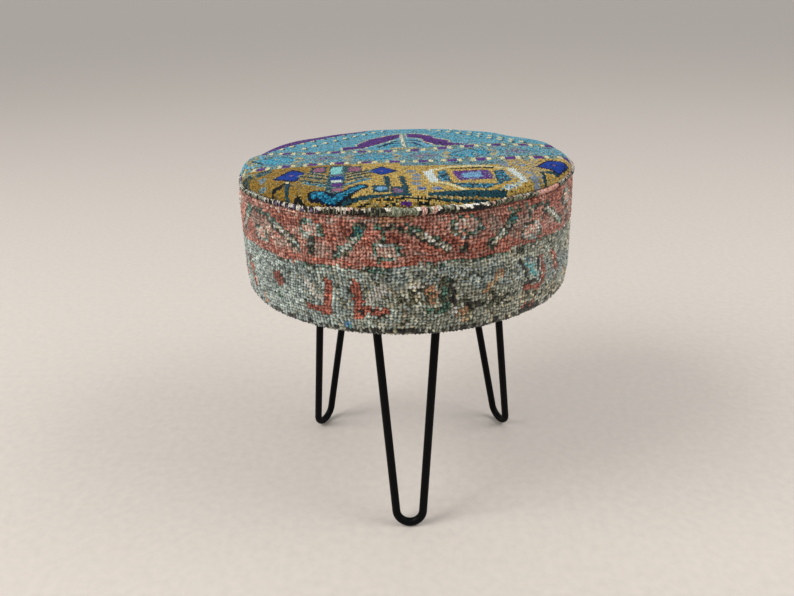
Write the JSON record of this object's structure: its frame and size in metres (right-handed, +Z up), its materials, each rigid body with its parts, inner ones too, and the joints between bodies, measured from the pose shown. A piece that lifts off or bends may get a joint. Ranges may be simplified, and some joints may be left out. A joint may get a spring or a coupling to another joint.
{
  "type": "upholstered stool",
  "caption": "Round low stool: a padded drum covered in old patterned rug, with a crowned top and a whipped welt round the rim, on splayed hairpin legs of bent steel rod.",
  "frame": {"origin": "on the floor, under the middle of the seat", "axes": "+Z up; -Y towards the front leg, +X to the right seen from the front"},
  "size_m": [0.401, 0.4008, 0.4339],
  "materials": {
    "top_rug": "fine knotted wool pile, teal, gold and purple",
    "side_rug": "coarse knotted wool pile, coral and grey-green",
    "welt_wool": "whipped wool, black, ivory and grey-green",
    "wadding": "white polyester wadding",
    "foam": "open-cell upholstery foam",
    "plywood": "sanded birch plywood",
    "pine": "planed pine",
    "hardboard": "smooth hardboard",
    "dust_cloth": "black non-woven dust cloth",
    "black_steel": "satin black powder coat",
    "zinc_steel": "zinc plate"
  },
  "bodies": {
    "root": {"base_board": "plywood", "base_board_screws": "zinc_steel", "base_hoop_pins": "zinc_steel", "drum_hoop": "hardboard", "dust_cover": "dust_cloth", "dust_cover_staples": "zinc_steel", "frame_post_1": "pine", "frame_post_2": "pine", "frame_post_3": "pine", "frame_post_4": "pine", "frame_post_5": "pine", "frame_post_6": "pine", "front_leg_plate": "black_steel", "front_leg_rod": "black_steel", "front_leg_welds": "black_steel", "hem_staples": "zinc_steel", "left_leg_plate": "black_steel", "left_leg_rod": "black_steel", "left_leg_welds": "black_steel", "leg_screws": "black_steel", "right_leg_plate": "black_steel", "right_leg_rod": "black_steel", "right_leg_welds": "black_steel", "rim_welt": "welt_wool", "seat_foam": "foam", "seat_wadding": "wadding", "side_cover": "side_rug", "side_wadding": "wadding", "top_board": "plywood", "top_board_screws": "zinc_steel", "top_cover": "top_rug", "top_hoop_pins": "zinc_steel"}
  },
  "joints": []
}
